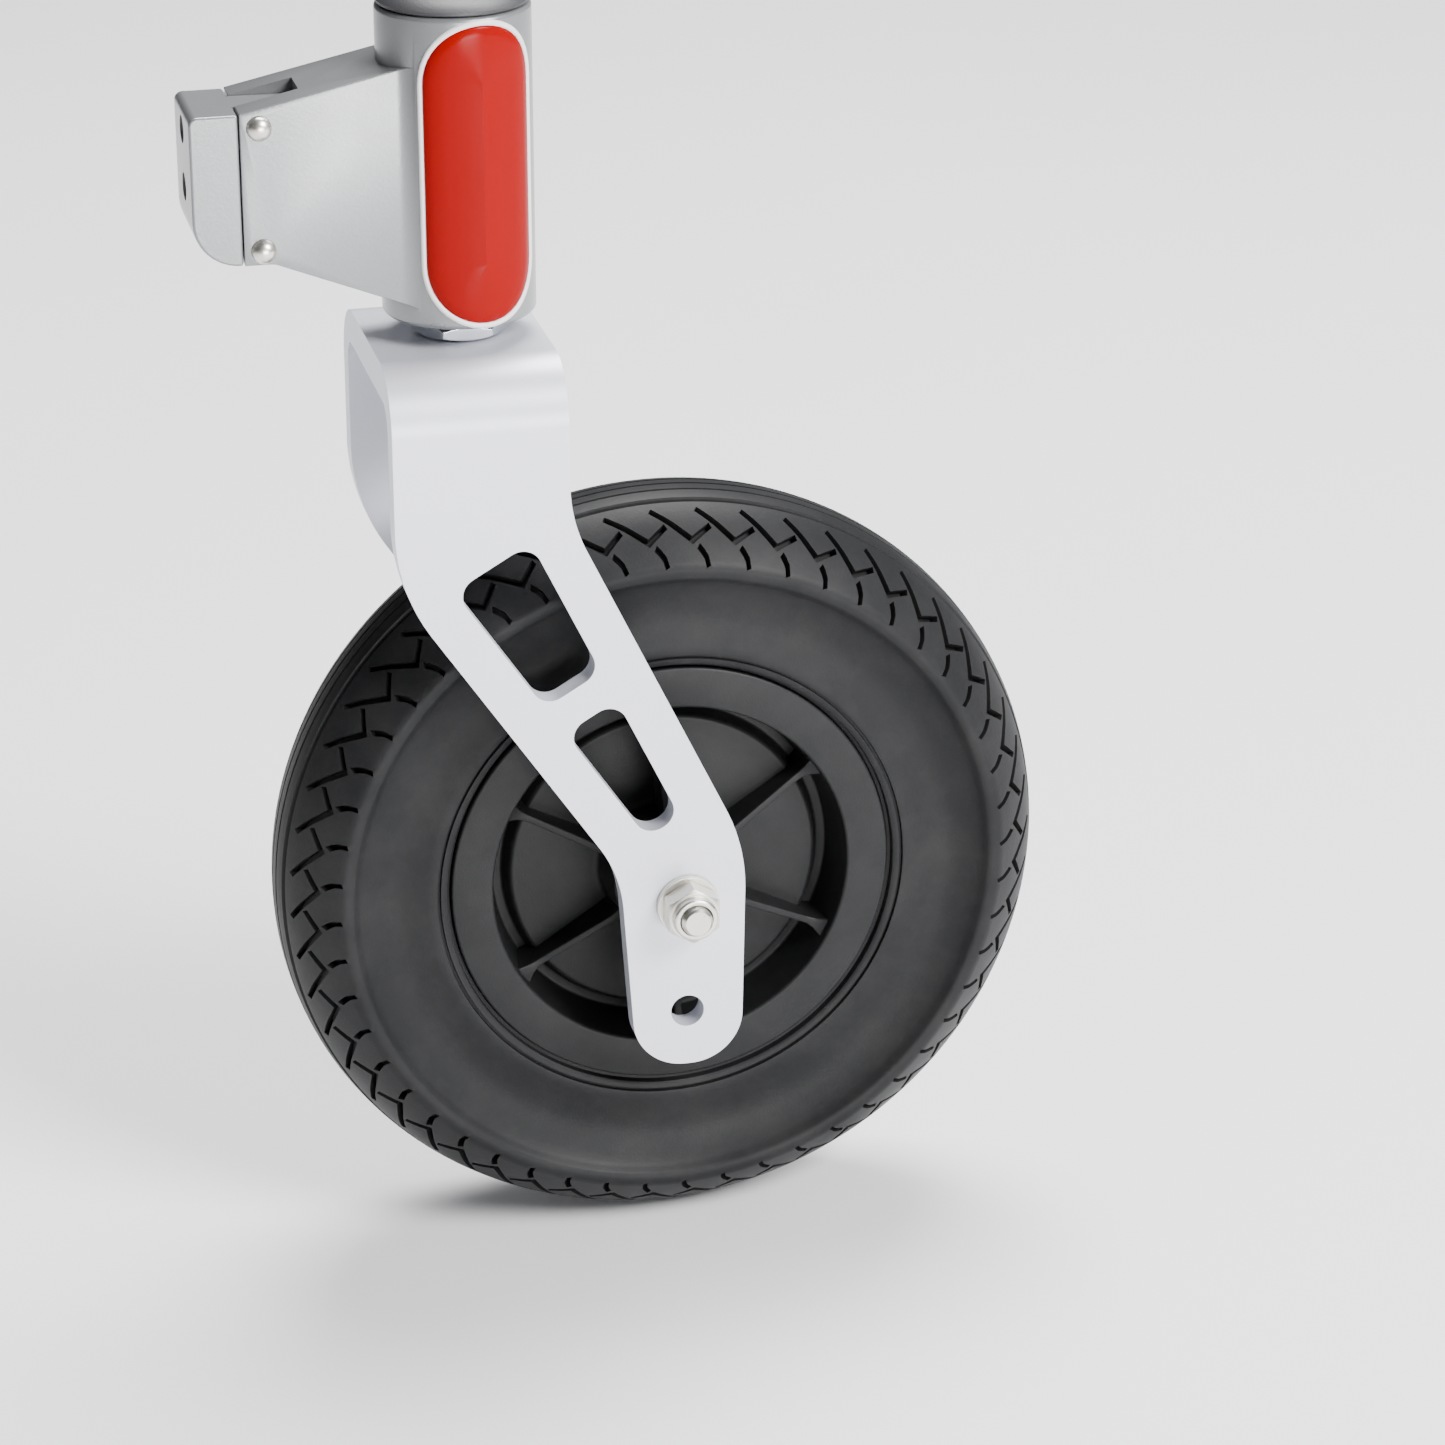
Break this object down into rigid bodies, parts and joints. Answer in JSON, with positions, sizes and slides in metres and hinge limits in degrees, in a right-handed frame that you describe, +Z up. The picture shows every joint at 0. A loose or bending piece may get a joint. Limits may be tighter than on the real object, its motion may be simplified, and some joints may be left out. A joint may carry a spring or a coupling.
{
  "type": "swivel caster wheel",
  "caption": "Swivel caster for a folding mobility vehicle: solid-tyred spoked wheel in a slotted one-piece fork, turning under a bearing head with a cast arm that bolts to a frame.",
  "frame": {"origin": "centre of the flat face of the lug that bolts to the vehicle's frame", "axes": "+Z up, along the caster stem; +X forward, from the frame towards the wheel; Y along the wheel's axle"},
  "size_m": [0.214, 0.0906, 0.3314],
  "materials": {
    "tyre_rubber": "matt grey-black solid rubber",
    "rim_plastic": "satin black moulded plastic",
    "silver": "satin silver paint",
    "cast_silver": "satin silver paint on cast aluminium",
    "zinc": "zinc plated",
    "bright_zinc": "bright plated",
    "bearing_steel": "ground steel",
    "red_plastic": "gloss red",
    "black_plastic": "satin black"
  },
  "bodies": {
    "head": {"head_housing": "cast_silver", "red_inlay": "red_plastic", "top_cap": "black_plastic", "frame_lug": "cast_silver", "lower_lug_pin": "zinc", "upper_lug_pin": "zinc", "lower_head_bearing_outer_ring": "bearing_steel", "upper_head_bearing_outer_ring": "bearing_steel"},
    "fork": {"fork": "silver", "stem_bolt": "zinc", "stem_jam_nut": "bright_zinc", "dust_ring": "bearing_steel", "stem_sleeve": "bearing_steel", "stem_washer": "zinc", "stem_nut": "zinc", "lower_head_bearing_inner_ring": "bearing_steel", "upper_head_bearing_inner_ring": "bearing_steel", "lower_head_bearing_balls": "bearing_steel", "upper_head_bearing_balls": "bearing_steel", "axle_bolt": "zinc", "axle_nut": "zinc", "left_axle_washer": "zinc", "right_axle_washer": "zinc", "left_axle_spacer": "zinc", "right_axle_spacer": "zinc", "hub_sleeve": "bearing_steel", "left_wheel_bearing_inner_ring": "bearing_steel", "right_wheel_bearing_inner_ring": "bearing_steel", "left_wheel_bearing_balls": "bearing_steel", "right_wheel_bearing_balls": "bearing_steel"},
    "wheel": {"tyre": "tyre_rubber", "rim": "rim_plastic", "left_wheel_bearing_outer_ring": "bearing_steel", "right_wheel_bearing_outer_ring": "bearing_steel"}
  },
  "joints": [
    {"name": "swivel", "type": "hinge", "parent": "head", "child": "fork", "pos_m": [0.0657, 0, -0.05], "axis": [0, 0, 1], "continuous": true},
    {"name": "wheel_spin", "type": "hinge", "parent": "fork", "child": "wheel", "pos_m": [0.114, 0, -0.1921], "axis": [0, 1, 0], "continuous": true}
  ]
}
